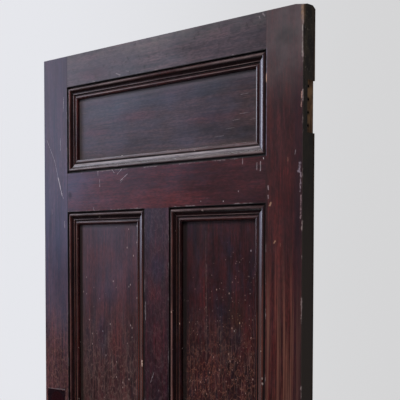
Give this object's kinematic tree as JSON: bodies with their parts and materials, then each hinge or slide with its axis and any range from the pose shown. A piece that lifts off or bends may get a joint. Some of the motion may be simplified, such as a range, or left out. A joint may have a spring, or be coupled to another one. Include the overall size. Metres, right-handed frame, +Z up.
{
  "type": "panelled front door",
  "caption": "Old dark varnished wooden front door leaf: a wide panel over tall panels and lower panels, framed by planted mouldings, with empty hinge gains in one edge.",
  "frame": {"origin": "middle of the bottom edge, halfway through the thickness", "axes": "+X towards the hinge stile, -Y out of the front face, +Z up"},
  "size_m": [0.9, 0.0446, 2.057],
  "materials": {
    "framing_wood": "old dark red-brown varnish, worn at the edges",
    "panel_wood": "old dark red-brown varnish, crazed",
    "moulding_wood": "old dark red-brown varnish"
  },
  "bodies": {
    "root": {"hinge_stile": "framing_wood", "lock_stile": "framing_wood", "top_rail": "framing_wood", "frieze_rail": "framing_wood", "lock_rail": "framing_wood", "bottom_rail": "framing_wood", "upper_muntin": "framing_wood", "lower_muntin": "framing_wood", "frieze_panel": "panel_wood", "upper_left_panel": "panel_wood", "upper_right_panel": "panel_wood", "lower_left_panel": "panel_wood", "lower_right_panel": "panel_wood", "front_frieze_moulding_top": "moulding_wood", "front_frieze_moulding_bottom": "moulding_wood", "front_frieze_moulding_left": "moulding_wood", "front_frieze_moulding_right": "moulding_wood", "front_upper_left_moulding_top": "moulding_wood", "front_upper_left_moulding_bottom": "moulding_wood", "front_upper_left_moulding_left": "moulding_wood", "front_upper_left_moulding_right": "moulding_wood", "front_upper_right_moulding_top": "moulding_wood", "front_upper_right_moulding_bottom": "moulding_wood", "front_upper_right_moulding_left": "moulding_wood", "front_upper_right_moulding_right": "moulding_wood", "front_lower_left_moulding_top": "moulding_wood", "front_lower_left_moulding_bottom": "moulding_wood", "front_lower_left_moulding_left": "moulding_wood", "front_lower_left_moulding_right": "moulding_wood", "front_lower_right_moulding_top": "moulding_wood", "front_lower_right_moulding_bottom": "moulding_wood", "front_lower_right_moulding_left": "moulding_wood", "front_lower_right_moulding_right": "moulding_wood", "back_frieze_moulding_top": "moulding_wood", "back_frieze_moulding_bottom": "moulding_wood", "back_frieze_moulding_left": "moulding_wood", "back_frieze_moulding_right": "moulding_wood", "back_upper_left_moulding_top": "moulding_wood", "back_upper_left_moulding_bottom": "moulding_wood", "back_upper_left_moulding_left": "moulding_wood", "back_upper_left_moulding_right": "moulding_wood", "back_upper_right_moulding_top": "moulding_wood", "back_upper_right_moulding_bottom": "moulding_wood", "back_upper_right_moulding_left": "moulding_wood", "back_upper_right_moulding_right": "moulding_wood", "back_lower_left_moulding_top": "moulding_wood", "back_lower_left_moulding_bottom": "moulding_wood", "back_lower_left_moulding_left": "moulding_wood", "back_lower_left_moulding_right": "moulding_wood", "back_lower_right_moulding_top": "moulding_wood", "back_lower_right_moulding_bottom": "moulding_wood", "back_lower_right_moulding_left": "moulding_wood", "back_lower_right_moulding_right": "moulding_wood"}
  },
  "joints": []
}
